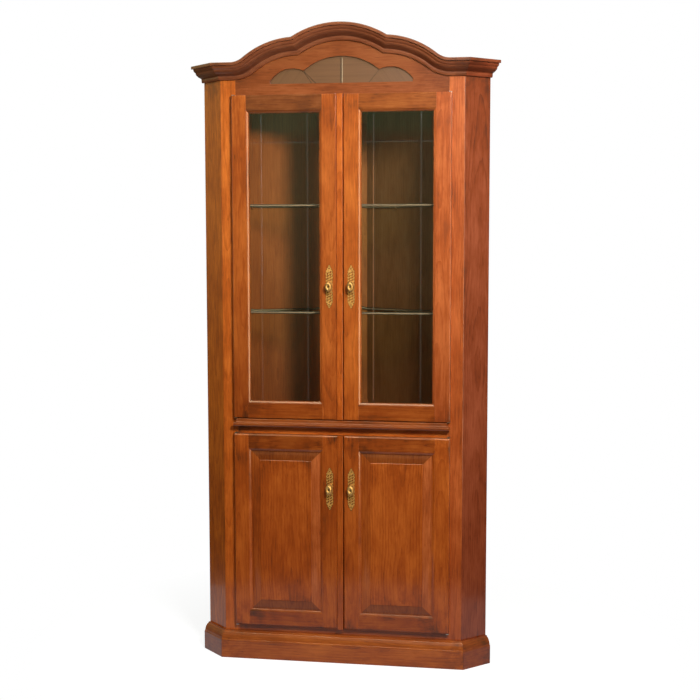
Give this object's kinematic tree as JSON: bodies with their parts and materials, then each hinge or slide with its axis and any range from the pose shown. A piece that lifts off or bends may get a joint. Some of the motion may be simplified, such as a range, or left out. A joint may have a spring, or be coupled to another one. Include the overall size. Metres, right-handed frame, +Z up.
{
  "type": "corner hutch",
  "caption": "Tall corner hutch: arched crown over an etched fan light, glazed doors above raised-panel doors, canted front corners, pierced brass handle plates.",
  "frame": {"origin": "middle of the hutch's box at floor level", "axes": "+Z up; the doors and the crown face -Y; +X is to the right as seen from the front; the two walls of the room's corner run along the back at 45 degrees to X"},
  "size_m": [1.0372, 0.5652, 2.134],
  "materials": {
    "cherry": "satin lacquer, red-brown",
    "cherry_inside": "matte stain, darker",
    "glass": "clear, V-grooved panes",
    "etched_glass": "etched, seen over wood",
    "brass": "aged, satin",
    "steel": "zinc-plated"
  },
  "bodies": {
    "case": {"stile_left": "cherry", "stile_right": "cherry", "return_left": "cherry", "return_right": "cherry", "bottom_rail": "cherry", "middle_rail": "cherry", "arched_rail": "cherry", "crown_front": "cherry", "crown_left": "cherry", "crown_right": "cherry", "base_front": "cherry", "base_left": "cherry", "base_right": "cherry", "waist_moulding": "cherry", "back_left": "cherry_inside", "back_right": "cherry_inside", "corner_strip": "cherry_inside", "fan_backing": "cherry_inside", "top_board": "cherry_inside", "middle_deck": "cherry_inside", "bottom_board": "cherry_inside", "cupboard_shelf": "cherry_inside", "fan_glass": "etched_glass", "lower_glass_shelf": "glass", "upper_glass_shelf": "glass", "upper_door_left_top_hinge_bracket": "steel", "upper_door_left_bottom_hinge_bracket": "steel", "upper_door_right_top_hinge_bracket": "steel", "upper_door_right_bottom_hinge_bracket": "steel", "lower_door_left_top_hinge_bracket": "steel", "lower_door_left_bottom_hinge_bracket": "steel", "lower_door_right_top_hinge_bracket": "steel", "lower_door_right_bottom_hinge_bracket": "steel"},
    "upper_left_door": {"upper_door_left_frame": "cherry", "upper_door_left_glass": "glass", "upper_door_left_plate": "brass", "upper_door_left_knob": "brass", "upper_door_left_top_hinge_leaf": "steel", "upper_door_left_bottom_hinge_leaf": "steel", "upper_meeting_strip": "cherry"},
    "upper_right_door": {"upper_door_right_frame": "cherry", "upper_door_right_glass": "glass", "upper_door_right_plate": "brass", "upper_door_right_knob": "brass", "upper_door_right_top_hinge_leaf": "steel", "upper_door_right_bottom_hinge_leaf": "steel"},
    "lower_left_door": {"lower_door_left_frame": "cherry", "lower_door_left_panel": "cherry", "lower_door_left_plate": "brass", "lower_door_left_knob": "brass", "lower_door_left_top_hinge_leaf": "steel", "lower_door_left_bottom_hinge_leaf": "steel", "lower_meeting_strip": "cherry"},
    "lower_right_door": {"lower_door_right_frame": "cherry", "lower_door_right_panel": "cherry", "lower_door_right_plate": "brass", "lower_door_right_knob": "brass", "lower_door_right_top_hinge_leaf": "steel", "lower_door_right_bottom_hinge_leaf": "steel"}
  },
  "joints": [
    {"name": "upper_left_hinge", "type": "hinge", "parent": "case", "child": "upper_left_door", "pos_m": [-0.3605, -0.24335, 0.8347], "axis": [0, 0, -1], "range_deg": [0, 110]},
    {"name": "upper_right_hinge", "type": "hinge", "parent": "case", "child": "upper_right_door", "pos_m": [0.3605, -0.24335, 0.8347], "axis": [0, 0, 1], "range_deg": [0, 110]},
    {"name": "lower_left_hinge", "type": "hinge", "parent": "case", "child": "lower_left_door", "pos_m": [-0.3605, -0.24335, 0.118], "axis": [0, 0, -1], "range_deg": [0, 110]},
    {"name": "lower_right_hinge", "type": "hinge", "parent": "case", "child": "lower_right_door", "pos_m": [0.3605, -0.24335, 0.118], "axis": [0, 0, 1], "range_deg": [0, 110]}
  ]
}
